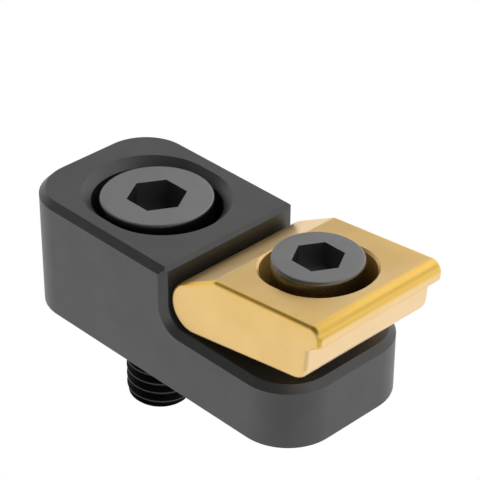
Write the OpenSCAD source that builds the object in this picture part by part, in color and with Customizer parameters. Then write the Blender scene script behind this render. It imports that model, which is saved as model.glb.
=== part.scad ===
// Wedge clamp: a steel base, held down by a screw sunk in its tall block, and a tilting jaw on the
// low platform. Turning the jaw screw in presses a crowned washer on the jaw, whose round heel rolls
// in the corner under the step, so that the nose swings down and forward on to the work.
// Millimetres. The origin is on the mounting screw's axis at the base's underside, +X points from
// there to the jaw's nose and +Z is up.

/* [Base] */
// Width of the base across the clamp
base_width = 20; // [18:0.5:26]
// Height of the tall block over the underside
block_height = 14.83; // [14:0.01:17]
// Height of the low platform under the jaw
platform_height = 7.78; // [6.5:0.01:9]
// Distance from the mounting screw's axis back to the rear face
rear_length = 12.53; // [12:0.01:18]
// Distance from the mounting screw's axis to the wall of the step
wall_x = 11.91; // [11:0.01:16]
// Length of the platform from the wall to the front face
platform_length = 18.89; // [18.4:0.01:24]
// Radius of the two rear corners in plan
rear_corner = 6.1; // [4:0.1:7]
// Radius of the two front corners in plan
front_corner = 6; // [4:0.1:7]
// Radius of the fillet between the wall and the platform
step_fillet = 2.31; // [1:0.01:2.6]
// Size of the chamfer round the upper edges
edge_chamfer = 0.77; // [0.3:0.01:1]
// Size of the chamfer on the top edge of the step
step_chamfer = 0.46; // [0.2:0.01:1]

/* [Mounting screw] */
// Thread diameter of the mounting screw
mount_thread = 8; // [7:0.1:9]
// Diameter of its head
mount_head = 13; // [12.5:0.1:13.5]
// Height of its head
mount_head_height = 8; // [6:0.1:9]
// Width across the flats of its socket
mount_socket = 6; // [5:0.1:7]
// Depth of its socket
mount_socket_depth = 4; // [3:0.1:5]
// Length under the head
mount_length = 19.2; // [14:0.1:30]
// Length of the thread, from the end up
mount_thread_length = 12.1; // [8:0.1:14]
// Diameter of the plain shank between head and thread
mount_shank = 7.2; // [6.5:0.1:7.6]
// Depth of the top of the head below the top of the block
mount_sink = 0.15; // [0:0.01:1]
// Length that the screw can shift along the slot, to each side of its middle
mount_shift = 1.15; // [0.5:0.01:1.5]
// Gap between the head and the side of its counterbore
mount_head_gap = 0.18; // [0.1:0.01:0.3]
// Gap between the shank and the side of its slot
mount_shank_gap = 0.4; // [0.2:0.01:0.8]
// Size of the lead-in chamfer round the counterbore
counterbore_chamfer = 1.04; // [0.3:0.01:1.2]

/* [Jaw screw] */
// Thread diameter of the jaw screw
jaw_thread = 6; // [5:0.1:6.3]
// Diameter of its head
jaw_head = 10; // [9:0.1:10.4]
// Height of its head
jaw_head_height = 6; // [4:0.1:7]
// Width across the flats of its socket
jaw_socket = 5; // [4:0.1:5.5]
// Depth of its socket
jaw_socket_depth = 3; // [2:0.1:4]
// Length under the head
jaw_screw_length = 10; // [8:0.1:11]
// Distance from the wall of the step to the screw's axis
jaw_screw_from_wall = 13.09; // [12.6:0.01:13.6]
// Running gap between the screw and its threaded hole
thread_gap = 0.05; // [0.02:0.01:0.1]

/* [Jaw] */
// Gap between the jaw's side and the side of the base
jaw_inset = 0.8; // [0:0.05:1.5]
// Radius of the round heel that the jaw rolls on
heel_radius = 3.04; // [2.9:0.01:3.2]
// Gap between the heel and the wall of the step
wall_gap = 0.31; // [0.1:0.01:0.5]
// Gap between the heel and the platform
platform_gap = 0.26; // [0.1:0.01:0.5]
// Angle of the top facet to the platform in the stored position, nose up
rest_tilt = 5.8; // [4:0.1:6.5]
// Height of the top facet over the centre of the heel
jaw_top = 5.03; // [4.5:0.01:5.5]
// Angle of the facet behind it, which falls to the heel
rear_slope = 22.8; // [18:0.1:26]
// Angle of the underside to the top facet
bottom_slope = 3.3; // [2:0.1:3.6]
// Distance from the centre of the heel to the upper corner of the nose
nose_reach = 19.56; // [19.2:0.01:22]
// Height of the nose's front face
nose_height = 2.25; // [2:0.01:2.8]
// Distance that the nose's front face leans back over its height
nose_lean = 0.34; // [0:0.01:0.6]
// Depth of the undercut below the nose
undercut = 1.6; // [1:0.01:2]
// Height of the undercut
undercut_height = 0.8; // [0.4:0.01:1]
// Angle of the lower front face, leaning in towards the underside
front_lean = 10.63; // [6:0.01:14]
// Radius of the nose's upper corner
nose_round = 1.3; // [1:0.01:1.3]
// Radius of the nose's lower corner
nose_edge = 0.4; // [0.2:0.01:0.6]
// Radius of the corner between the lower front face and the underside
toe_round = 2.2; // [1.5:0.01:2.5]
// Gap between the screw's head and the side of the counterbore in the jaw
jaw_head_gap = 0.68; // [0.62:0.01:1]
// Gap between the screw's shank and the side of its slot in the jaw
jaw_shank_gap = 0.3; // [0.2:0.01:0.5]
// Size of the lead-in chamfer round that counterbore
jaw_flare = 0.36; // [0.1:0.01:0.6]
// Length by which both slots run on to each side of their middle
jaw_shift = 0.77; // [0.7:0.01:1]
// Thickness of the jaw below the counterbore
jaw_web = 1.6; // [1.3:0.01:1.8]

/* [Washer and spring] */
// Diameter of the crowned washer
washer_diameter = 11; // [10:0.1:11.2]
// Gap between the washer's hole and the screw
washer_gap = 0.2; // [0.1:0.01:0.4]
// Thickness of the washer in its middle
washer_thickness = 0.95; // [0.8:0.01:1.2]
// Radius of the crown on its underside
crown_radius = 30; // [28:0.5:45]
// Gap between the crown and the jaw
crown_gap = 0.05; // [0.02:0.01:0.1]
// Wire diameter of the spring that lifts the jaw
spring_wire = 0.4; // [0.3:0.01:0.45]
// Gap between the spring's lowest coil and the screw
spring_gap = 0.15; // [0.1:0.01:0.3]
// Growth of the tapered spring's radius from its lowest coil to its top
spring_taper = 0.18; // [0.1:0.01:0.22]
// Number of turns of the spring
spring_turns = 3; // [2:0.5:3.5]
// Gap between the spring and its pocket in the platform
pocket_gap = 0.19; // [0.15:0.01:0.3]
// Depth of that pocket
pocket_depth = 2.4; // [2:0.01:3]

/* [Hidden] */
$fn = 96;
e = 0.01;
far = 1;
seat_gap = 0.02;
head_round = 0.35;
screw_tip = 0.6;
neck_round = 0.3;
jaw_width = base_width - 2 * jaw_inset;
front_x = wall_x + platform_length;
jaw_screw_x = wall_x + jaw_screw_from_wall;
pocket_z = platform_height - pocket_depth;

// The mounting screw: the counterbore's floor carries its head
mount_floor = block_height - mount_sink - mount_head_height;
counterbore_radius = mount_head / 2 + mount_head_gap;

// The jaw turns about the centre of its heel, and its profile is drawn from there with the top
// facet level
heel_x = wall_x + wall_gap + heel_radius;
heel_z = platform_height + platform_gap + heel_radius;
lever = jaw_screw_x - heel_x;
slot_x = (lever + jaw_top * sin(rest_tilt)) / cos(rest_tilt);
function underside(x) = x * tan(bottom_slope) - heel_radius / cos(bottom_slope);
seat_z = underside(slot_x) + jaw_web;
heel_tip = -heel_radius / sin((rear_slope - bottom_slope) / 2);
heel_mean = (rear_slope + bottom_slope) / 2;
break_x = (jaw_top - heel_radius / cos(rear_slope)) / tan(rear_slope);
nose_x = nose_reach - nose_lean;
nose_z = jaw_top - nose_height;
neck_x = nose_x - undercut;
neck_z = nose_z - undercut_height;
front_run = (neck_z - underside(neck_x)) / (cos(front_lean) - sin(front_lean) * tan(bottom_slope));
toe_x = neck_x - front_run * sin(front_lean);
jaw_profile = [
    [heel_tip * cos(heel_mean), heel_tip * sin(heel_mean), heel_radius],
    [toe_x, underside(toe_x), toe_round],
    [neck_x, neck_z, neck_round],
    [nose_x, nose_z, nose_edge],
    [nose_reach, jaw_top, nose_round],
    [break_x, jaw_top, 0],
];

// The washer's crown touches the tilted seat, and the screw's head stands on the washer
crown_lift = (crown_radius + seat_z + lever * sin(rest_tilt)) / cos(rest_tilt) - crown_radius;
washer_z = heel_z + crown_lift + crown_gap;
head_z = washer_z + washer_thickness;

// The spring stands in its pocket and its top follows the underside of the jaw
rest_slope = rest_tilt + bottom_slope;
spring_radius = jaw_thread / 2 + spring_gap + spring_wire / 2;
function jaw_bottom(x) = heel_z - heel_radius / cos(rest_slope) + (x - heel_x) * tan(rest_slope);

// A corner of a profile: tangent point, centre of the round, tangent point, and a turn above 0
// where the corner points outwards
function unit(v) = v / norm(v);
function corner(a, p, b) =
    let (
        q = [p[0], p[1]],
        u = unit([a[0], a[1]] - q),
        w = unit([b[0], b[1]] - q),
        half = acos(u * w) / 2
    )
    [
        q + u * p[2] / tan(half),
        q + unit(u + w) * p[2] / sin(half),
        q + w * p[2] / tan(half),
        u[1] * w[0] - u[0] * w[1],
    ];
function corners(p) =
    let (n = len(p)) [for (i = [0 : n - 1]) corner(p[(i + n - 1) % n], p[i], p[(i + 1) % n])];

// A closed profile, drawn counterclockwise, with a round at each corner that has a radius. Over is
// how far the rounds run past their tangent lines, which gives sloping sides a clear edge there.
module rounded(p, over = 0) {
    k = corners(p);
    difference() {
        union() {
            polygon([
                for (i = [0 : len(p) - 1])
                    each p[i][2] == 0 ? [k[i][0]] : k[i][3] > 0 ? [k[i][0], k[i][2]] : [k[i][0], k[i][1], k[i][2]]
            ]);
            for (i = [0 : len(p) - 1])
                if (k[i][3] > 0 && p[i][2] > 0) translate(k[i][1]) circle(p[i][2] + over);
        }
        for (i = [0 : len(p) - 1])
            if (k[i][3] < 0 && p[i][2] > 0) translate(k[i][1]) circle(p[i][2] + over);
    }
}

// Stands a profile up in the XZ plane and runs it across the clamp, half to each side
module across(width) {
    translate([0, width / 2, 0]) rotate([90, 0, 0]) linear_extrude(width) children();
}

// What a chamfer of size c takes off an edge at 0 whose outsides are +X and +Y
module chamfer_corner(c) {
    polygon([[-c - far, far], [far, -c - far], [far, far]]);
}

// The same off an edge of radius r round the Y axis, cut short at the axis
module chamfer_ring(r, c) {
    low = max(0, r - c - far);
    polygon([[low, r - c - low], [r + far, -c - far], [r + far, far + e], [low, far + e]]);
}

// A straight chamfer along +X whose outsides are -Y and +Z
module edge_cut(length, c) {
    rotate([90, 0, 90]) mirror([1, 0, 0]) linear_extrude(length) chamfer_corner(c);
}

// A slot with round ends along X, from a cylinder at each end and a bar between them
module slot(r, shift, h) {
    for (s = [-1, 1]) translate([s * shift, 0, 0]) cylinder(r = r, h = h);
    translate([-shift, -r, 0]) cube([2 * shift, 2 * r, h]);
}

// The flared mouth of such a slot, growing from r by c over the height c
module slot_flare(r, shift, c) {
    for (s = [-1, 1]) translate([s * shift, 0, 0]) cylinder(r1 = r, r2 = r + c + far, h = c + far);
    translate([-shift, 0, 0]) rotate([90, 0, 90]) linear_extrude(2 * shift)
        polygon([[-r, 0], [r, 0], [r + c + far, c + far], [-r - c - far, c + far]]);
}

// A socket head cap screw with the underside of its head at 0 and a plain shank above its thread
module cap_screw(thread, head, height, socket, depth, length, tip, thread_length, shank) {
    difference() {
        rotate_extrude() {
            translate([0, tip - length]) square([thread / 2, thread_length - tip]);
            translate([0, tip - length]) square([shank / 2, length - tip + e]);
            polygon([[0, -length], [thread / 2 - tip, -length], [thread / 2, tip - length], [0, tip - length]]);
            square([head / 2, height - head_round]);
            square([head / 2 - head_round, height]);
            translate([head / 2 - head_round, height - head_round]) circle(head_round);
        }
        translate([0, 0, height - depth]) cylinder(r = socket / 2 / cos(30), h = depth + far, $fn = 6);
    }
}

module base() {
    color([0.33, 0.33, 0.34]) difference() {
        intersection() {
            translate([0, 0, -far]) linear_extrude(block_height + 2 * far) rounded([
                [-rear_length, -base_width / 2, rear_corner],
                [front_x, -base_width / 2, front_corner],
                [front_x, base_width / 2, front_corner],
                [-rear_length, base_width / 2, rear_corner],
            ]);
            across(base_width + 2 * far) rounded([
                [-rear_length - far, 0, 0],
                [front_x + far, 0, 0],
                [front_x + far, platform_height, 0],
                [wall_x, platform_height, step_fillet],
                [wall_x, block_height, 0],
                [-rear_length - far, block_height, 0],
            ]);
        }
        block_chamfers();
        platform_chamfers();
        translate([0, 0, mount_floor]) slot(counterbore_radius, mount_shift, block_height);
        translate([0, 0, block_height - counterbore_chamfer])
            slot_flare(counterbore_radius, mount_shift, counterbore_chamfer);
        translate([0, 0, -far]) slot(mount_thread / 2 + mount_shank_gap, mount_shift, block_height);
        translate([jaw_screw_x, 0, -far]) cylinder(r = jaw_thread / 2 + thread_gap, h = block_height);
        translate([jaw_screw_x, 0, pocket_z])
            cylinder(r = spring_radius + spring_wire / 2 + pocket_gap, h = block_height);
    }
}

module block_chamfers() {
    for (s = [0, 1]) mirror([0, s, 0]) {
        translate([rear_corner - rear_length, -base_width / 2, block_height])
            edge_cut(rear_length + wall_x - rear_corner + far, edge_chamfer);
        translate([rear_corner - rear_length, rear_corner - base_width / 2, block_height])
            rotate(180) rotate_extrude(angle = 90) chamfer_ring(rear_corner, edge_chamfer);
        translate([wall_x, -base_width / 2, platform_height + step_fillet])
            linear_extrude(block_height) mirror([0, 1, 0]) chamfer_corner(edge_chamfer);
    }
    translate([-rear_length, base_width / 2 - rear_corner, block_height])
        rotate(-90) edge_cut(base_width - 2 * rear_corner, edge_chamfer);
    translate([wall_x, 0, block_height]) across(base_width + 2 * far) chamfer_corner(step_chamfer);
}

module platform_chamfers() {
    start = wall_x + step_fillet;
    for (s = [0, 1]) mirror([0, s, 0]) {
        translate([start, -base_width / 2, platform_height])
            edge_cut(front_x - front_corner - start, edge_chamfer);
        translate([front_x - front_corner, front_corner - base_width / 2, platform_height])
            rotate(-90) rotate_extrude(angle = 90) chamfer_ring(front_corner, edge_chamfer);
        translate([start, -base_width / 2, platform_height + step_fillet])
            side_cone(step_fillet, edge_chamfer);
    }
    translate([front_x, front_corner - base_width / 2, platform_height])
        rotate(90) edge_cut(base_width - 2 * front_corner, edge_chamfer);
}

// The chamfer round the end of a hollow round of radius r, on a side face whose outside is -Y
module side_cone(r, c) {
    translate([0, -far, 0]) rotate([-90, 0, 0]) cylinder(r1 = r + c + far, r2 = r, h = c + far);
}

module mounting_screw() {
    color([0.2, 0.2, 0.21]) translate([0, 0, mount_floor])
        cap_screw(mount_thread, mount_head, mount_head_height, mount_socket, mount_socket_depth,
            mount_length, screw_tip, mount_thread_length, mount_shank);
}

module jaw() {
    color([0.85, 0.68, 0.4]) translate([heel_x, 0, heel_z]) rotate([0, -rest_tilt, 0]) difference() {
        across(jaw_width) rounded(jaw_profile, 0.002);
        translate([slot_x, 0, seat_z]) slot(jaw_head / 2 + jaw_head_gap, jaw_shift, 2 * jaw_top);
        translate([slot_x, 0, jaw_top - jaw_flare]) slot_flare(jaw_head / 2 + jaw_head_gap, jaw_shift, jaw_flare);
        translate([slot_x, 0, underside(slot_x) - far])
            slot(jaw_thread / 2 + jaw_shank_gap, jaw_shift, jaw_top);
    }
}

module jaw_screw() {
    color([0.42, 0.43, 0.45]) translate([jaw_screw_x, 0, head_z])
        cap_screw(jaw_thread, jaw_head, jaw_head_height, jaw_socket, jaw_socket_depth,
            jaw_screw_length, screw_tip, jaw_screw_length, jaw_thread);
}

module rocker_washer() {
    color([0.45, 0.45, 0.47]) translate([jaw_screw_x, 0, washer_z]) difference() {
        intersection() {
            cylinder(d = washer_diameter, h = washer_thickness);
            translate([0, washer_diameter, crown_radius]) rotate([90, 0, 0])
                cylinder(r = crown_radius, h = 2 * washer_diameter, $fn = 720);
        }
        translate([0, 0, -far]) cylinder(r = jaw_thread / 2 + washer_gap, h = washer_thickness + 2 * far);
    }
}

// The wire's centre line: flat for a third of a turn at each end, rising and widening evenly
// between them
module spring() {
    steps = 24;
    sides = 8;
    flat_turns = 0.3;
    n = spring_turns * steps;
    function rise(i) = max(0, min(1, (i / steps - flat_turns) / (spring_turns - 2 * flat_turns)));
    function middle(i) =
        let (
            angle = 360 * i / steps,
            radius = spring_radius + spring_taper * rise(i),
            x = radius * cos(angle),
            low = pocket_z + seat_gap + spring_wire / 2,
            high = jaw_bottom(jaw_screw_x + x) - (seat_gap + spring_wire / 2) / cos(rest_slope)
        )
        [x, radius * sin(angle), low + (high - low) * rise(i)];
    function ring(i) = [
        for (j = [0 : sides - 1])
            let (out = spring_wire / 2 * cos(360 * j / sides), angle = 360 * i / steps)
                middle(i) + [out * cos(angle), out * sin(angle), spring_wire / 2 * sin(360 * j / sides)]
    ];
    faces = [
        [for (j = [sides - 1 : -1 : 0]) j],
        for (i = [0 : n - 1], j = [0 : sides - 1])
            let (a = i * sides + j, b = i * sides + (j + 1) % sides)
                each [[a, b, b + sides], [a, b + sides, a + sides]],
        [for (j = [0 : sides - 1]) n * sides + j],
    ];
    color([0.6, 0.6, 0.62]) translate([jaw_screw_x, 0, 0])
        polyhedron([for (i = [0 : n]) each ring(i)], faces);
}

base();
mounting_screw();
jaw();
jaw_screw();
rocker_washer();
spring();
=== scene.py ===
# %% [markdown]
# # Wedge clamp
# A wedge clamp holds a workpiece by its edge. The steel base is bolted down by a screw sunk in its
# tall end. On its low end sits a gold-coated jaw, and a second screw presses that jaw down so that
# its nose swings on to the work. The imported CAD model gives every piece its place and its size, so
# it is loaded first. What is added here is what the eye needs: rounded edges, threads and finishes.

# %% Load the frame
import bmesh
import bpy
import math
from mathutils import Matrix, Vector


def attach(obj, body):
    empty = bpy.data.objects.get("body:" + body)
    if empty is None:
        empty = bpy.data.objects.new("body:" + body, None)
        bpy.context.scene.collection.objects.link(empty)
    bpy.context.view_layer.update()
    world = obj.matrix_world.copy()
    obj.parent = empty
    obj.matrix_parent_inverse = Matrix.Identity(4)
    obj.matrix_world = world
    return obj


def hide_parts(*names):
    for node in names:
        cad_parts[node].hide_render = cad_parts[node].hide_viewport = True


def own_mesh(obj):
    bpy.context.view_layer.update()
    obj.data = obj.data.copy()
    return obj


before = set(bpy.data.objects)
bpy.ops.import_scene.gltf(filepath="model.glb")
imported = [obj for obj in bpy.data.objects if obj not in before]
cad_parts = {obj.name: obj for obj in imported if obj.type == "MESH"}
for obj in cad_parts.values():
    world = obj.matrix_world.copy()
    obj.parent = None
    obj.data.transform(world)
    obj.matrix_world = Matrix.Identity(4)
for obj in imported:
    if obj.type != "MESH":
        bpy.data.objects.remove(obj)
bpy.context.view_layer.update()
mm = 0.001
scene = bpy.context.scene

# %% [markdown]
# ## Shader helpers
# The finishes are all satin metal, so they share a small vocabulary. A noise pattern is laid out in
# object coordinates, so it stays on the piece when that moves. A ramp turns the noise into two
# close tones, and a bump stirs the reflections without changing the shape.


# %% Shader helpers
def new_material(name):
    """A material with its Principled shader and its node list."""
    material = bpy.data.materials.new(name)
    material.use_nodes = True
    return material, material.node_tree, material.node_tree.nodes["Principled BSDF"]


def grain(tree, size, stretch=(1, 1, 1), detail=3.0):
    """Noise whose blotches are about size across, drawn out where stretch is under 1."""
    place = tree.nodes.new("ShaderNodeTexCoord")
    mapping = tree.nodes.new("ShaderNodeMapping")
    mapping.inputs["Scale"].default_value = stretch
    noise = tree.nodes.new("ShaderNodeTexNoise")
    noise.inputs["Scale"].default_value = 1 / size
    noise.inputs["Detail"].default_value = detail
    tree.links.new(place.outputs["Object"], mapping.inputs["Vector"])
    tree.links.new(mapping.outputs["Vector"], noise.inputs["Vector"])
    return noise.outputs["Fac"]


def between(tree, factor, low, high, start=0.35, end=0.65):
    """A colour or grey that runs from low to high as the factor runs from start to end."""
    ramp = tree.nodes.new("ShaderNodeValToRGB")
    tones = [t if isinstance(t, tuple) else (t, t, t) for t in (low, high)]
    for element, place, tone in zip(ramp.color_ramp.elements, (start, end), tones):
        element.position, element.color = place, (*tone, 1)
    tree.links.new(factor, ramp.inputs["Fac"])
    return ramp.outputs["Color"]


def bump(tree, shader, factor, depth, strength=1.0):
    """Raises the surface by depth where the factor is 1, in the shading only."""
    node = tree.nodes.new("ShaderNodeBump")
    node.inputs["Distance"].default_value = depth
    node.inputs["Strength"].default_value = strength
    tree.links.new(factor, node.inputs["Height"])
    tree.links.new(node.outputs["Normal"], shader.inputs["Normal"])


# %% [markdown]
# ## Blackened steel
# The base and both screws are steel with a black oxide skin. It is not paint: the metal still
# glints through, a little unevenly, and the fine grain left by tumbling keeps reflections soft. So
# the shader is mostly metal, dark, with two scales of noise in its tone and its roughness. One
# function makes every such surface, because the skin is the same and only its tone and gloss change:
# for the milled base, the ground heads, their turned sides, the pressed sockets and the rolled
# threads. Some tones are painted light. The threads are painted nearly black as shade, and their
# crests lighter as a highlight. The side of the mounting screw's head, sunk in its counterbore, is
# painted dark as shade, and the side of the jaw screw's head is painted a little warmer, as
# reflection of the gold of the bore close beside it.


# %% Blackened steel
def blackened_steel(name, low, high, rough, metal=0.75):
    """Steel that clouds between two tones, about that rough, and to that share bare metal."""
    material, tree, shader = new_material(name)
    cloud, fine = grain(tree, 4 * mm, detail=4), grain(tree, 0.12 * mm)
    tree.links.new(between(tree, cloud, low, high), shader.inputs["Base Color"])
    tree.links.new(between(tree, fine, rough - 0.04, rough + 0.05), shader.inputs["Roughness"])
    shader.inputs["Metallic"].default_value = metal
    bump(tree, shader, fine, 0.002 * mm)
    return material


base_steel = blackened_steel("base_black_oxide", 0.106, 0.116, 0.42)
screw_steel = blackened_steel("screw_black_oxide", 0.225, 0.245, 0.38)
# The threads are painted nearly black as shade, and their crests lighter as a highlight
thread_steel_painted_shade = blackened_steel("thread_black_oxide_painted_shade", 0.012, 0.02, 0.5)
crest_steel_painted_highlight = blackened_steel("crest_black_oxide_painted_highlight", 0.05, 0.07, 0.5)
# The jaw screw's head side is painted warm, as reflection of the gold bore beside it
gold_reflection_low, gold_reflection_high = (0.145, 0.125, 0.085), (0.165, 0.145, 0.10)
side_steel_painted_gold_reflection = blackened_steel("head_side_black_oxide_painted_gold_reflection", gold_reflection_low, gold_reflection_high, 0.3, 1.0)
# The mounting screw's head side, sunk in its counterbore, is painted dark as shade
sunk_steel_painted_shade = blackened_steel("sunk_side_black_oxide_painted_shade", 0.05, 0.065, 0.3, 0.9)
socket_steel = blackened_steel("socket_black_oxide", 0.225, 0.245, 0.32, 0.95)
print("finishes:", [m.name for m in bpy.data.materials if "oxide" in m.name])

# %% [markdown]
# ## Gold-coloured coating and bright steel
# The jaw is hard steel with a thin golden coating, satin from the ground surface below it. Faint
# long marks run across the clamp, the way the jaw was ground, so its noise is stretched along Y.
# The coating's colour also carries painted light. It is deeper on the rounded edges, a painted
# warm reflection of gold in gold, paler on the leaning front as a painted highlight and on the
# rear slope as a painted reflection, and brown and dull on the walls of the bore, where the brown
# is painted reflected light. Attributes on the jaw's mesh say how much of each a point has, so the
# tones stay on the jaw when it tilts. The washer and the spring under it are bare steel.


# %% Gold coating and bright steel
def blend(tree, factor, low, high):
    """Mixes two colours, from low to high as the factor runs from 0 to 1."""
    mix = tree.nodes.new("ShaderNodeMix")
    mix.data_type = "RGBA"
    picked = {socket.name: socket for socket in mix.inputs if socket.enabled}
    tree.links.new(factor, picked["Factor"])
    tree.links.new(low, picked["A"])
    tree.links.new(high, picked["B"])
    return next(socket for socket in mix.outputs if socket.enabled)


def share(tree, name):
    """How much of a kind of surface a point has, from 0 to 1, read from the mesh's attribute."""
    node = tree.nodes.new("ShaderNodeAttribute")
    node.attribute_name = name
    return node.outputs["Fac"]


def golden_coating():
    """Gold over ground steel, with painted warm reflection on edges, a painted highlight on the
    front and painted brown light in the bore.
    """
    material, tree, shader = new_material("jaw_gold_coating")
    lines = grain(tree, 0.25 * mm, (1, 0.05, 1))
    cloud = grain(tree, 5 * mm, detail=2)
    rounding, bore, front = (share(tree, name) for name in ("rounding", "bore", "front"))
    flat = between(tree, cloud, (0.85, 0.575, 0.225), (0.89, 0.615, 0.255))
    deep_painted_reflection = between(tree, cloud, (0.90, 0.575, 0.125), (0.93, 0.60, 0.14))
    brown_painted_bore_light = between(tree, cloud, (0.96, 0.56, 0.15), (0.98, 0.59, 0.17))
    pale_painted_highlight = between(tree, cloud, (0.93, 0.68, 0.38), (0.95, 0.70, 0.40))
    outside = blend(tree, rounding, blend(tree, front, flat, pale_painted_highlight), deep_painted_reflection)
    tree.links.new(blend(tree, bore, outside, brown_painted_bore_light), shader.inputs["Base Color"])
    satin, coarse = between(tree, lines, 0.30, 0.38), between(tree, lines, 0.62, 0.72)
    tree.links.new(blend(tree, bore, satin, coarse), shader.inputs["Roughness"])

    # Full metal outside, and mostly diffuse in the bore, where the brown is painted reflected light:
    # 1 - 0.85 x bore
    metal = tree.nodes.new("ShaderNodeMath")
    metal.operation = "MULTIPLY_ADD"
    metal.inputs[1].default_value, metal.inputs[2].default_value = -0.85, 1.0
    tree.links.new(bore, metal.inputs[0])
    tree.links.new(metal.outputs[0], shader.inputs["Metallic"])
    bump(tree, shader, lines, 0.0015 * mm)
    return material


def bare_steel():
    """Uncoated steel with a fine grain."""
    material, tree, shader = new_material("bare_steel")
    lines = grain(tree, 0.15 * mm)
    tree.links.new(between(tree, lines, 0.42, 0.48), shader.inputs["Base Color"])
    tree.links.new(between(tree, lines, 0.28, 0.40), shader.inputs["Roughness"])
    shader.inputs["Metallic"].default_value = 1.0
    return material


jaw_gold = golden_coating()
bright_steel = bare_steel()
print("gold coating has", len(jaw_gold.node_tree.nodes), "nodes")

# %% [markdown]
# ## Mesh helpers
# A piece that comes from the CAD model arrives as loose triangles. A copy of it is merged, its
# flat faces are joined up again, and it is shaded smooth with sharp edges kept, so that a round
# corner shows one even reflection and a chamfer keeps its crease.


# %% Mesh helpers
def add_object(name, mesh, *materials):
    """Puts a mesh in the scene under that name, with its materials."""
    thing = bpy.data.objects.new(name, mesh)
    scene.collection.objects.link(thing)
    for material in materials:
        mesh.materials.append(material)
    return thing


def shade(mesh, crease=25):
    """Smooth shading that keeps every edge sharper than crease degrees."""
    solid = bmesh.new()
    solid.from_mesh(mesh)
    for face in solid.faces:
        face.smooth = True
    for edge in solid.edges:
        edge.smooth = len(edge.link_faces) == 2 and edge.calc_face_angle(0) < math.radians(crease)
    solid.to_mesh(mesh)
    solid.free()


def cad_copy(node, name, *materials):
    """A merged, smoothly shaded copy of a CAD node, as a piece that stands for it."""
    mesh = bpy.data.meshes.new(name)
    solid = bmesh.new()
    solid.from_mesh(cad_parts[node].data)
    bmesh.ops.remove_doubles(solid, verts=solid.verts, dist=0.0005 * mm)
    bmesh.ops.dissolve_limit(solid, angle_limit=math.radians(0.3), verts=solid.verts,
                             edges=solid.edges)
    solid.to_mesh(mesh)
    solid.free()
    mesh.materials.clear()
    shade(mesh)
    return add_object(name, mesh, *materials)


def fit(piece, node, body):
    """The piece stands for a CAD node, which it hides, and moves with its body."""
    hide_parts(node)
    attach(piece, body)
    spread = [sorted(v.co[i] / mm for v in piece.data.vertices) for i in range(3)]
    size = " x ".join("%.2f" % (values[-1] - values[0]) for values in spread)
    print(piece.name, "is", size, "mm,", len(piece.data.polygons), "faces")


def apply_modifiers(thing):
    """Turns the object's modifiers into plain mesh."""
    evaluated = thing.evaluated_get(bpy.context.evaluated_depsgraph_get())
    result = bpy.data.meshes.new_from_object(evaluated)
    thing.modifiers.clear()
    old, thing.data = thing.data, result
    bpy.data.meshes.remove(old)


# %% [markdown]
# ## The base
# The base is one milled block with a step. It could be drawn again from outlines with bevels on
# them, but the CAD solid already has its corners, its fillet and its chamfers, and nothing on the
# real one is softer than that. So a merged copy of the solid is enough, and it can't drift from it.

# %% Base
base = cad_copy("base", "base_block", base_steel)
fit(base, "base", "base")

# %% [markdown]
# ## The jaw
# The jaw is one profile run across the clamp. Both ends of it are rounded off all the way round,
# which the light picks up as a soft line. A Bevel modifier could round them, but the corners of the
# undercut are smaller than that bevel. So the profile is built as rings: each ring is the outline
# moved inwards by a little less than the one before, as a router bit would leave it. The slot for
# the screw is then cut out of it, wide above for the screw's head and narrow below. The jaw is
# drawn level, in mm from the middle of its heel, and tilted into place at the end.


# %% Jaw outline
jaw_width, edge_round = 18.4, 0.5
heel, tilt = Vector((15.26, 11.08)), math.radians(5.8)
heel_radius, bottom_slope, rear_slope, facet = 3.04, math.radians(3.3), math.radians(22.8), 5.03
slot_middle, slot_shift, front_foot = 10.301, 0.77, 16.859


def underside(x):
    """The height of the jaw's sloping underside, which touches the round heel."""
    return x * math.tan(bottom_slope) - heel_radius / math.cos(bottom_slope)


# Underside and rear slope would meet in a sharp wedge behind the heel, which rounds them off
wedge = -heel_radius / math.sin((rear_slope - bottom_slope) / 2)
mean = (rear_slope + bottom_slope) / 2
break_x = (facet - heel_radius / math.cos(rear_slope)) / math.tan(rear_slope)

# Heel, front foot, undercut, lip, nose and the break to the rear slope: x, z, rounding and steps
outline = [
    (wedge * math.cos(mean), wedge * math.sin(mean), heel_radius, 40),
    (front_foot, underside(front_foot), 2.2, 20),
    (17.62, 1.98, 0.3, 8),
    (19.22, 2.78, 0.4, 8),
    (19.56, facet, 1.3, 16),
    (break_x, facet, 1.2, 6),
]


def inset_ring(inset, sharpest=0.01):
    """The outline moved inwards, as points; every ring has the same number of them."""
    corners = [Vector(p[:2]) for p in outline]
    n = len(corners)
    lines = []
    for i in range(n):
        along = (corners[(i + 1) % n] - corners[i]).normalized()
        lines.append((corners[i] + Vector((-along.y, along.x)) * inset, along))
    ring = []
    for i in range(n):
        (p, u), (q, w) = lines[i - 1], lines[i]
        corner = p + u * ((q - p).cross(w) / u.cross(w))
        turn = math.atan2(u.cross(w), u.dot(w))
        radius = max(outline[i][2] - math.copysign(inset, turn), sharpest)
        reach = radius * math.tan(abs(turn) / 2)
        middle = corner - u * reach + Vector((-u.y, u.x)) * math.copysign(radius, turn)
        start = math.atan2(*reversed(corner - u * reach - middle))
        for k in range(outline[i][3] + 1):
            angle = start + turn * k / outline[i][3]
            ring.append(middle + radius * Vector((math.cos(angle), math.sin(angle))))
    return ring


def in_place(x, y, z):
    """A point of the level jaw, in mm from the middle of its heel, where it rests on the clamp."""
    c, s = math.cos(tilt), math.sin(tilt)
    return Vector((heel.x + x * c - z * s, y, heel.y + x * s + z * c)) * mm


print("jaw outline has", len(inset_ring(0)), "points")


# %% Jaw solid
bore_radius, bore_flare, shank_slot_radius, web = 5.68, 0.27, 3.3, 1.6


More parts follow.
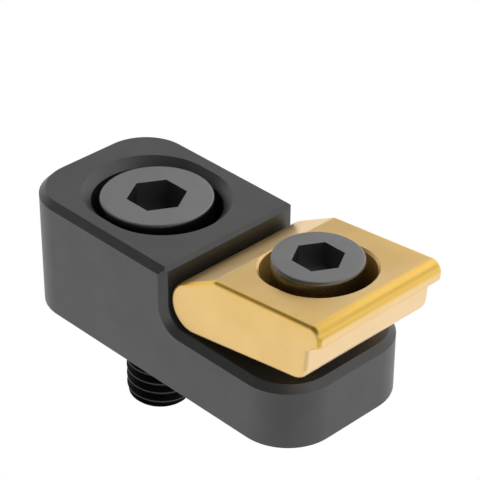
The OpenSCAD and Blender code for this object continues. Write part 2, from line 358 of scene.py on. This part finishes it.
def ringed_solid(name, rings):
    """A closed mesh over rings with the same number of points, flat at both ends."""
    solid = bmesh.new()
    loops = [[solid.verts.new(place) for place in ring] for ring in rings]
    for a, b in zip(loops, loops[1:]):
        for k in range(len(a)):
            solid.faces.new((a[k - 1], a[k], b[k], b[k - 1]))
    solid.faces.new(loops[0])
    solid.faces.new(reversed(loops[-1]))
    bmesh.ops.recalc_face_normals(solid, faces=solid.faces)
    mesh = bpy.data.meshes.new(name)
    solid.to_mesh(mesh)
    solid.free()
    return mesh


def jaw_blank(steps=8):
    """The rounded profile as a closed mesh, level and in mm."""
    halves = [(edge_round * (1 - math.sin(t)), jaw_width / 2 - edge_round * (1 - math.cos(t)))
              for t in (math.pi / 2 * k / steps for k in range(steps + 1))]
    sections = [(i, -y) for i, y in halves] + [(i, y) for i, y in reversed(halves)]
    return ringed_solid("jaw_blank", [[(p.x, y, p.y) for p in inset_ring(i)] for i, y in sections])


def slot_cutter(name, radius, bottom, top, flare=0.0, steps=32):
    """A slot with round ends along X, flared by that much at z = facet and above."""
    levels = [(bottom, radius), (top, radius)]
    if flare:
        # The ring just under the flare keeps the bore's dull finish and painted brown light off it
        levels = [(bottom, radius), (facet - flare - 0.1, radius), (facet - flare, radius),
                  (top, radius + flare + top - facet)]
    rings = []
    for z, r in levels:
        ring = []
        for end, first in ((1, -90), (-1, 90)):
            middle = slot_middle + end * slot_shift
            for k in range(steps + 1):
                a = math.radians(first + 180 * k / steps)
                ring.append((middle + r * math.cos(a), r * math.sin(a), z))
        rings.append(ring)
    return add_object(name, ringed_solid(name, rings))


def subtract(thing, cutter):
    """Cuts one object out of another and throws the cutter away."""
    cut = thing.modifiers.new("cut", "BOOLEAN")
    cut.operation, cut.solver, cut.object = "DIFFERENCE", "EXACT", cutter
    apply_modifiers(thing)
    bpy.data.objects.remove(cutter)


# The seat for the washer is a web's thickness above the underside; both cutters reach past the jaw
seat = underside(slot_middle) + web
under_jaw, in_bore, over_jaw = -4.0, 2.0, 7.0
jaw = add_object("clamping_jaw", jaw_blank(), jaw_gold)
subtract(jaw, slot_cutter("screw_seat", bore_radius, seat, over_jaw, bore_flare))
subtract(jaw, slot_cutter("shank_slot", shank_slot_radius, under_jaw, in_bore))
print("jaw has", len(jaw.data.vertices), "points")

# %% [markdown]
# ## Where light is painted on the coating
# The gold is painted deeper where an edge is rounded, as warm reflection of gold in gold, and brown
# in the bore as reflected light, where it is also dull. These parts could be painted by hand, but
# they follow the shape, so each point's place and normal decide: the further a normal turns away
# from every flat, the more the point belongs to a rounding. The shares are stored as attributes,
# which the gold shader reads.


# %% Jaw finish, painted light and place
def mark_finish_and_painted_light(mesh, under_nose=2.5, nose=18, front_top=4, full_turn=15):
    """Writes on the level jaw how much each point is rounding, bore or front, for painted light.

    Roundings count above under_nose, at the nose or at both ends, and fully from full_turn degrees
    away from every flat. The leaning front ends at front_top.
    """
    rounding, bore, front = (mesh.attributes.new(name, "FLOAT", "POINT").data
                             for name in ("rounding", "bore", "front"))
    rise = (outline[4][0] - outline[3][0], outline[4][1] - outline[3][1])
    leaning = Vector((rise[1], 0, -rise[0])).normalized()
    sloping = Vector((-math.sin(rear_slope), 0, math.cos(rear_slope)))
    flats = [Vector((0, 0, 1)), Vector((0, 1, 0)), Vector((0, -1, 0)), leaning]
    for i, vertex in enumerate(mesh.vertices):
        (x, y, z), normal = vertex.co, vertex.normal

        # The bore's wall, up to the ring under its flare, which gets the dull finish and painted
        # brown light
        aside = max(abs(x - slot_middle) - slot_shift, 0)
        inside = math.hypot(aside, y) < bore_radius + 0.05 and z < facet - 0.3
        bore[i].value = float(inside)

        # Painted highlight, paler the more a point faces the way the front leans, and painted
        # reflection half as much on the rear slope
        ahead = max(normal.dot(leaning) - 0.4, 0) / 0.6 if z < front_top else 0
        behind = max(normal.dot(sloping) - 0.95, 0) * 10
        front[i].value = max(ahead, behind)
        # Roundings take the deeper gold of painted warm reflection
        on_edge = z > under_nose and (x > nose or abs(y) > jaw_width / 2 - edge_round)
        turned = min(math.degrees(normal.angle(flat)) for flat in flats)
        rounding[i].value = min(turned / full_turn, 1) if on_edge else 0


mark_finish_and_painted_light(jaw.data)
for vertex in jaw.data.vertices:
    vertex.co = in_place(*vertex.co)
shade(jaw.data, 20)
fit(jaw, "jaw", "jaw")

# %% [markdown]
# ## Screws
# Both are socket head cap screws. The body of such a screw is turned, so it is a profile spun
# round its axis, and the hexagon socket is cut out of it. The thread follows a rule, a ridge that
# climbs one pitch each turn, so Geometry Nodes sweep it along a spiral, trim its ends with a cone
# and join it to the core. A Screw modifier could sweep it too, but wouldn't trim or join it. The
# sizes are inputs of the tree, so one tree makes both threads. The next cells build it up.


# %% Thread tree: inputs and helpers
thread = bpy.data.node_groups.new("screw_thread", "GeometryNodeTree")
thread.is_modifier = True
add, link, new_socket = thread.nodes.new, thread.links.new, thread.interface.new_socket
new_socket("Geometry", in_out="INPUT", socket_type="NodeSocketGeometry")
for name in ("Crest radius", "Root radius", "Pitch", "Lead in", "Thread length", "End height",
             "Tip radius"):
    new_socket(name, in_out="INPUT", socket_type="NodeSocketFloat")
for name in ("Thread material", "Crest material"):
    new_socket(name, in_out="INPUT", socket_type="NodeSocketMaterial")
new_socket("Geometry", in_out="OUTPUT", socket_type="NodeSocketGeometry")
given, result = add("NodeGroupInput"), add("NodeGroupOutput")
crest, root, pitch = (given.outputs[n] for n in ("Crest radius", "Root radius", "Pitch"))
length, end = given.outputs["Thread length"], given.outputs["End height"]


def feed(node, values):
    """Gives each input its number or links it, and hands back the node's first output."""
    for socket, value in zip(node.inputs, values):
        if isinstance(value, (int, float)):
            socket.default_value = value
        else:
            link(value, socket)
    return node.outputs[0]


def maths(operation, a, b):
    """A maths node of the thread's tree, over numbers or outputs."""
    node = add("ShaderNodeMath")
    node.operation = operation
    return feed(node, (a, b))


def point(x, y, z=0):
    """A point in the thread's tree, from numbers or outputs."""
    return feed(add("ShaderNodeCombineXYZ"), (x, y, z))


print("thread inputs:", [socket.name for socket in given.outputs if socket.name])


# %% Thread tree: section of the ridge
# A crest an eighth of the pitch wide, flanks at 30 degrees, and a foot sunk a little in the core
depth = maths("SUBTRACT", crest, root)
top = maths("MULTIPLY", pitch, 1 / 16)
foot = maths("ADD", top, maths("MULTIPLY", depth, math.tan(math.radians(30))))
sunk, out = maths("MULTIPLY", depth, 0.2), maths("MULTIPLY", depth, -1)
section = add("GeometryNodeCurvePrimitiveQuadrilateral")
section.mode = "POINTS"
corners = (point(sunk, foot), point(out, top), point(out, maths("MULTIPLY", top, -1)),
           point(sunk, maths("MULTIPLY", foot, -1)))
for number, corner in enumerate(corners, 1):
    link(corner, section.inputs["Point %d" % number])
print("thread tree has", len(thread.nodes), "nodes with the section")


# %% Thread tree: sweep along a spiral
# The spiral has a turn to spare at each end, and the section stays upright on it
spiral = add("GeometryNodeCurveSpiral")
turns = maths("ADD", maths("DIVIDE", length, pitch), 2)
spiral.inputs["Resolution"].default_value = 64
link(turns, spiral.inputs["Rotations"])
link(root, spiral.inputs["Start Radius"])
link(root, spiral.inputs["End Radius"])
link(maths("MULTIPLY", turns, pitch), spiral.inputs["Height"])
lower = add("GeometryNodeTransform")
lead_in = maths("MULTIPLY", pitch, given.outputs["Lead in"])
link(spiral.outputs["Curve"], lower.inputs["Geometry"])
link(point(0, 0, maths("SUBTRACT", end, lead_in)), lower.inputs["Translation"])
upright = add("GeometryNodeSetCurveNormal")
upright.mode = "Z_UP"
link(lower.outputs["Geometry"], upright.inputs["Curve"])
sweep = add("GeometryNodeCurveToMesh")
sweep.inputs["Fill Caps"].default_value = True
link(upright.outputs["Curve"], sweep.inputs["Curve"])
link(section.outputs["Curve"], sweep.inputs["Profile Curve"])
print("thread tree has", len(thread.nodes), "nodes with the sweep")


# %% Thread tree: trimmed and joined
# A cone at 45 degrees trims the ridge square at the top and to the chamfer at the tip
cone = add("GeometryNodeMeshCone")
cone.inputs["Vertices"].default_value = 96
link(maths("ADD", given.outputs["Tip radius"], length), cone.inputs["Radius Top"])
link(given.outputs["Tip radius"], cone.inputs["Radius Bottom"])
link(length, cone.inputs["Depth"])
seat_cone = add("GeometryNodeTransform")
link(cone.outputs["Mesh"], seat_cone.inputs["Geometry"])
link(point(0, 0, maths("ADD", end, 0.03)), seat_cone.inputs["Translation"])
trim, join = add("GeometryNodeMeshBoolean"), add("GeometryNodeMeshBoolean")
trim.operation, join.operation = "INTERSECT", "UNION"
trim.solver = join.solver = "EXACT"
link(sweep.outputs["Mesh"], trim.inputs["Mesh 2"])
link(seat_cone.outputs["Geometry"], trim.inputs["Mesh 2"])
link(given.outputs["Geometry"], join.inputs["Mesh 2"])
link(trim.outputs["Mesh"], join.inputs["Mesh 2"])
weld, solid = add("GeometryNodeMergeByDistance"), add("GeometryNodeRealizeInstances")
weld.inputs["Distance"].default_value = 0.001
link(join.outputs["Mesh"], weld.inputs["Geometry"])
link(weld.outputs["Geometry"], solid.inputs["Geometry"])
print("thread tree has", len(thread.nodes), "nodes with the joined solid")


# %% Thread tree: painted shade on the thread, painted highlight on its crests
# The thread is painted darker than the head, as shade under the base, and its crests are painted
# lighter again, as a highlight
where, apart = add("GeometryNodeInputPosition"), add("ShaderNodeSeparateXYZ")
reach = add("ShaderNodeVectorMath")
reach.operation = "LENGTH"
link(where.outputs[0], apart.inputs[0])
link(point(apart.outputs["X"], apart.outputs["Y"]), reach.inputs[0])
threaded = maths("LESS_THAN", apart.outputs["Z"], maths("ADD", end, length))
outermost = maths("GREATER_THAN", reach.outputs["Value"], maths("MULTIPLY", crest, 0.99))
dark, bright = add("GeometryNodeSetMaterial"), add("GeometryNodeSetMaterial")
link(solid.outputs["Geometry"], dark.inputs["Geometry"])
link(threaded, dark.inputs["Selection"])
link(given.outputs["Thread material"], dark.inputs["Material"])
link(dark.outputs["Geometry"], bright.inputs["Geometry"])
link(maths("MULTIPLY", threaded, outermost), bright.inputs["Selection"])
link(given.outputs["Crest material"], bright.inputs["Material"])
link(bright.outputs["Geometry"], result.inputs["Geometry"])
print("thread tree has", len(thread.nodes), "nodes in all")


# %% Turned shapes
def lathe(profile, segments=96):
    """Spins (radius, height) points, in mm, from axis to axis, round Z into a closed mesh."""
    solid = bmesh.new()
    rings = []
    for r, z in profile:
        if r == 0:
            rings.append([solid.verts.new((0, 0, z))])
        else:
            rings.append([solid.verts.new((r * math.cos(a), r * math.sin(a), z))
                          for a in (2 * math.pi * k / segments for k in range(segments))])
    for a, b in zip(rings, rings[1:]):
        for k in range(segments):
            if len(a) == 1:
                solid.faces.new((a[0], b[k - 1], b[k]))
            elif len(b) == 1:
                solid.faces.new((a[k - 1], b[0], a[k]))
            else:
                solid.faces.new((a[k - 1], a[k], b[k], b[k - 1]))
    bmesh.ops.recalc_face_normals(solid, faces=solid.faces)
    mesh = bpy.data.meshes.new("turned")
    solid.to_mesh(mesh)
    solid.free()
    return mesh


def screw_profile(size, high, end, edge=0.35, steps=8, chamfer=0.12, overlap=0.1):
    """Half the screw's section, from the middle of its top to the middle of its tip, in mm."""
    head, shank, root = size["head"] / 2, size["shank"] / 2, size["root"] / 2
    start = end + size["thread length"] - overlap
    bend = [(head - edge + edge * math.sin(a), high - edge + edge * math.cos(a))
            for a in (math.pi / 2 * k / steps for k in range(steps + 1))]
    below = [(head, chamfer), (head - chamfer, 0), (shank, 0), (shank, start), (root, start),
             (root, end), (0, end)]
    return [(0, high)] + bend + below


# %% Cap screw
def cap_screw(name, centre, seat_height, size):
    """A socket head cap screw standing on seat_height, in place and in metres."""
    high, end = size["head height"], -size["length"]
    profile = screw_profile(size, high, end)
    screw = add_object(name, lathe(profile), size["steel"], socket_steel, size["side"])

    # The turned side of the head, below its rounded edge, gets its own material: painted shade on
    # the sunk mounting screw, a painted reflection of the gold on the jaw screw
    face_steel, side_painted_light = 0, 2
    for polygon in screw.data.polygons:
        if abs(polygon.normal.z) < 0.8 and 0 < polygon.center.z < high - 0.1:
            polygon.material_index = side_painted_light

    # The key leaves its own finish on the socket's walls, and the floor gets the screw's
    corner, floor = size["flats"] / 2 / math.cos(math.pi / 6), high - size["depth"]
    hexagon = lathe([(0, floor), (corner, floor), (corner, high + 1), (0, high + 1)], 6)
    subtract(screw, add_object("hex_key", hexagon, socket_steel))
    for polygon in screw.data.polygons:
        if polygon.normal.z > 0.9 and 0 < polygon.center.z < high - 0.5:
            polygon.material_index = face_steel

    rule = screw.modifiers.new("thread", "NODES")
    rule.node_group = thread
    crest = size["thread"] / 2
    values = {"Crest radius": crest, "Root radius": size["root"] / 2, "Pitch": size["pitch"],
              "Lead in": size["lead in"], "Thread length": size["thread length"],
              "End height": end, "Tip radius": crest - size["tip"],
              "Thread material": thread_steel_painted_shade, "Crest material": crest_steel_painted_highlight}
    for item in thread.interface.items_tree:
        if item.item_type == "SOCKET" and item.in_out == "INPUT" and item.name in values:
            rule[item.identifier] = values[item.name]
    apply_modifiers(screw)
    for vertex in screw.data.vertices:
        vertex.co = (vertex.co + Vector((centre, 0, seat_height))) * mm
    shade(screw.data, 30)
    return screw


# %% Mounting screw and jaw screw
mounting = cap_screw("mounting_screw_m8", 0, 6.68, {
    "steel": screw_steel, "side": sunk_steel_painted_shade, "head": 13, "head height": 8, "flats": 6, "depth": 4,
    "length": 19.2, "shank": 7.2, "thread": 8, "root": 6.47, "pitch": 1.25, "thread length": 12.1,
    "lead in": 1.13, "tip": 0.6})
fit(mounting, "mounting_screw", "mounting_screw")
pressing = cap_screw("jaw_screw_m6", 25, 12.37, {
    "steel": screw_steel, "side": side_steel_painted_gold_reflection, "head": 10, "head height": 6, "flats": 5, "depth": 3,
    "length": 10, "shank": 5.6, "thread": 6, "root": 4.77, "pitch": 1.0, "thread length": 9,
    "lead in": 1.05, "tip": 0.6})
fit(pressing, "jaw_screw", "jaw_screw")

# %% [markdown]
# ## Washer and spring
# Between the jaw and the head of its screw lies a washer with a crowned underside, and a short
# spring under the jaw lifts it when the screw is let out. Only slivers of them show, so copies of
# the CAD solids are enough. The spring stands on the base.

# %% Washer and spring
washer = cad_copy("rocker_washer", "crowned_washer", bright_steel)
fit(washer, "rocker_washer", "washer")
lifter = cad_copy("spring", "lifting_spring", bright_steel)
fit(lifter, "spring", "base")
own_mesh(lifter)

# %% [markdown]
# ## Floor, light and camera
# The clamp is shown on white, lit softly from all round, and satin metal shows mostly what it
# reflects. So the floor and the world are plain white only to the camera. To the metal the sky is
# bright low down and behind, as a white studio is, and dim overhead on the camera's side, where
# such a studio is open. Two softer patches, low at the rear and high in front, keep the gold from
# glaring, and the floor fades towards the camera. A large, weak lamp over the rear adds a gleam to
# the nose. The camera stands where the photograph was taken from, worked out from the clamp's
# straight edges.


# %% Floor
def combine(tree, operation, a, b):
    """A maths node over two sockets."""
    node = tree.nodes.new("ShaderNodeMath")
    node.operation = operation
    tree.links.new(a, node.inputs[0])
    tree.links.new(b, node.inputs[1])
    return node.outputs[0]


def dimmed(tree, place, direction, start, end, level):
    """Strength 1 that falls to level as place, measured along direction, goes from start to end."""
    along, fall = tree.nodes.new("ShaderNodeVectorMath"), tree.nodes.new("ShaderNodeMapRange")
    along.operation = "DOT_PRODUCT"
    along.inputs[1].default_value = direction
    for name, value in (("From Min", start), ("From Max", end), ("To Min", 1.0), ("To Max", level)):
        fall.inputs[name].default_value = value
    tree.links.new(place, along.inputs[0])
    tree.links.new(along.outputs["Value"], fall.inputs["Value"])
    return fall.outputs["Result"]


def mixed(tree, factor, first, second):
    """One shader where the factor is 0 and the other where it is 1."""
    node = tree.nodes.new("ShaderNodeMixShader")
    for socket, source in zip(node.inputs, (factor, first, second)):
        tree.links.new(source, socket)
    return node.outputs[0]


def pale_floor(half=1.5, height=-0.045):
    """A wide white sheet well below the clamp, which its screw holds up. From below it is clear."""
    corners = ((-half, -half), (half, -half), (half, half), (-half, half))
    mesh = bpy.data.meshes.new("floor")
    mesh.from_pydata([(x, y, height) for x, y in corners], [], [(0, 1, 2, 3)])
    material, tree, shader = new_material("white_floor")
    shader.inputs["Base Color"].default_value = (0.9, 0.9, 0.9, 1)
    shader.inputs["Roughness"].default_value = 0.9
    rays, glow, clear, sheet, place = (tree.nodes.new("ShaderNode" + kind) for kind in (
        "LightPath", "Emission", "BsdfTransparent", "NewGeometry", "TexCoord"))
    camera, glossy = rays.outputs["Is Camera Ray"], rays.outputs["Is Glossy Ray"]
    fading = dimmed(tree, place.outputs["Object"], (0.707, -0.707, 0), 0.055, 0.12, 0.55)
    tree.links.new(combine(tree, "MAXIMUM", fading, camera), glow.inputs["Strength"])
    seen = combine(tree, "MAXIMUM", camera, glossy)
    above = mixed(tree, seen, shader.outputs[0], glow.outputs[0])
    surface = mixed(tree, sheet.outputs["Backfacing"], above, clear.outputs[0])
    tree.links.new(surface, tree.nodes["Material Output"].inputs["Surface"])
    return add_object("floor", mesh, material)


pale_floor()


# %% World and lamps
def studio_world():
    """White to the camera. To all else bright, but for a dim ceiling and two softer patches."""
    world = bpy.data.worlds.new("studio")
    scene.world = world
    world.use_nodes = True
    tree = world.node_tree
    place, towards, ramp, rays, fill, white = (tree.nodes.new("ShaderNode" + kind) for kind in (
        "TexCoord", "VectorMath", "ValToRGB", "LightPath", "Background", "Background"))
    sky = place.outputs["Generated"]

    # The ceiling: how bright the sky is by how near it is to the middle of the dim part
    towards.operation = "DOT_PRODUCT"
    overhead = Vector((-0.15, -0.5, 0.85)).normalized()
    towards.inputs[1].default_value = overhead
    tree.links.new(sky, towards.inputs[0])
    tree.links.new(towards.outputs["Value"], ramp.inputs["Fac"])
    stops = ((0.0, 1.0), (0.4, 1.0), (0.52, 0.75), (0.68, 0.24), (0.85, 0.13))
    while len(ramp.color_ramp.elements) < len(stops):
        ramp.color_ramp.elements.new(0.5)
    for element, (nearness, level) in zip(ramp.color_ramp.elements, stops):
        element.position, element.color = nearness, (level, level, level, 1)

    # The patches: one low at the rear, one high in front
    low_rear = Vector((-0.75, 0.58, 0.32)).normalized()
    high_front = Vector((0.61, 0.585, 0.53)).normalized()
    patches = combine(tree, "MULTIPLY", dimmed(tree, sky, low_rear, 0.965, 0.995, 0.4),
                      dimmed(tree, sky, high_front, 0.93, 0.99, 0.66))
    tree.links.new(ramp.outputs["Color"], fill.inputs["Color"])
    tree.links.new(patches, fill.inputs["Strength"])
    white.inputs["Color"].default_value = (1, 1, 1, 1)
    surface = mixed(tree, rays.outputs["Is Camera Ray"], fill.outputs[0], white.outputs[0])
    tree.links.new(surface, tree.nodes["World Output"].inputs["Surface"])


def soft_lamp(name, place, aim, size, power):
    """A round lamp at a place, turned towards what it is aimed at."""
    lamp = bpy.data.lights.new(name, "AREA")
    lamp.shape, lamp.size, lamp.energy = "DISK", size, power
    thing = bpy.data.objects.new(name, lamp)
    scene.collection.objects.link(thing)
    thing.location = place
    thing.rotation_mode = "QUATERNION"
    thing.rotation_quaternion = (Vector(aim) - Vector(place)).to_track_quat("-Z", "Y")


studio_world()
clamp_middle = (0.011, 0, 0.006)
soft_lamp("rear_key", (0.03, 0.27, 0.295), clamp_middle, 0.3, 0.035)
print("lamps:", [lamp.name for lamp in bpy.data.lights])


# %% Camera
eye, focal_pixels, frame_pixels = Vector((0.145565, -0.128377, 0.134389)), 2037.908, 480


def photo_camera():
    """The photograph's view: 45.8 degrees round, 32.9 degrees up, from 23 cm away."""
    azimuth, elevation, roll = (math.radians(a) for a in (45.842, 32.948, 0.268))
    away, rise = math.cos(elevation), math.sin(elevation)
    back = Vector((math.sin(azimuth) * away, -math.cos(azimuth) * away, rise))
    right = (-back).cross(Vector((0, 0, 1))).normalized()
    up = back.cross(right)
    turned_right = math.cos(roll) * right + math.sin(roll) * up
    turned_up = math.cos(roll) * up - math.sin(roll) * right
    camera = bpy.data.objects.new("camera", bpy.data.cameras.new("camera"))
    scene.collection.objects.link(camera)
    camera.data.sensor_width, camera.data.lens = 36, 36 * focal_pixels / frame_pixels
    camera.data.clip_start, camera.data.clip_end = 0.01, 10
    axes = Matrix((turned_right, turned_up, back)).transposed().to_4x4()
    camera.matrix_world = Matrix.Translation(eye) @ axes
    scene.camera = camera


photo_camera()
print("lens is", round(scene.camera.data.lens, 1), "mm")
scene.view_settings.view_transform = "Standard"
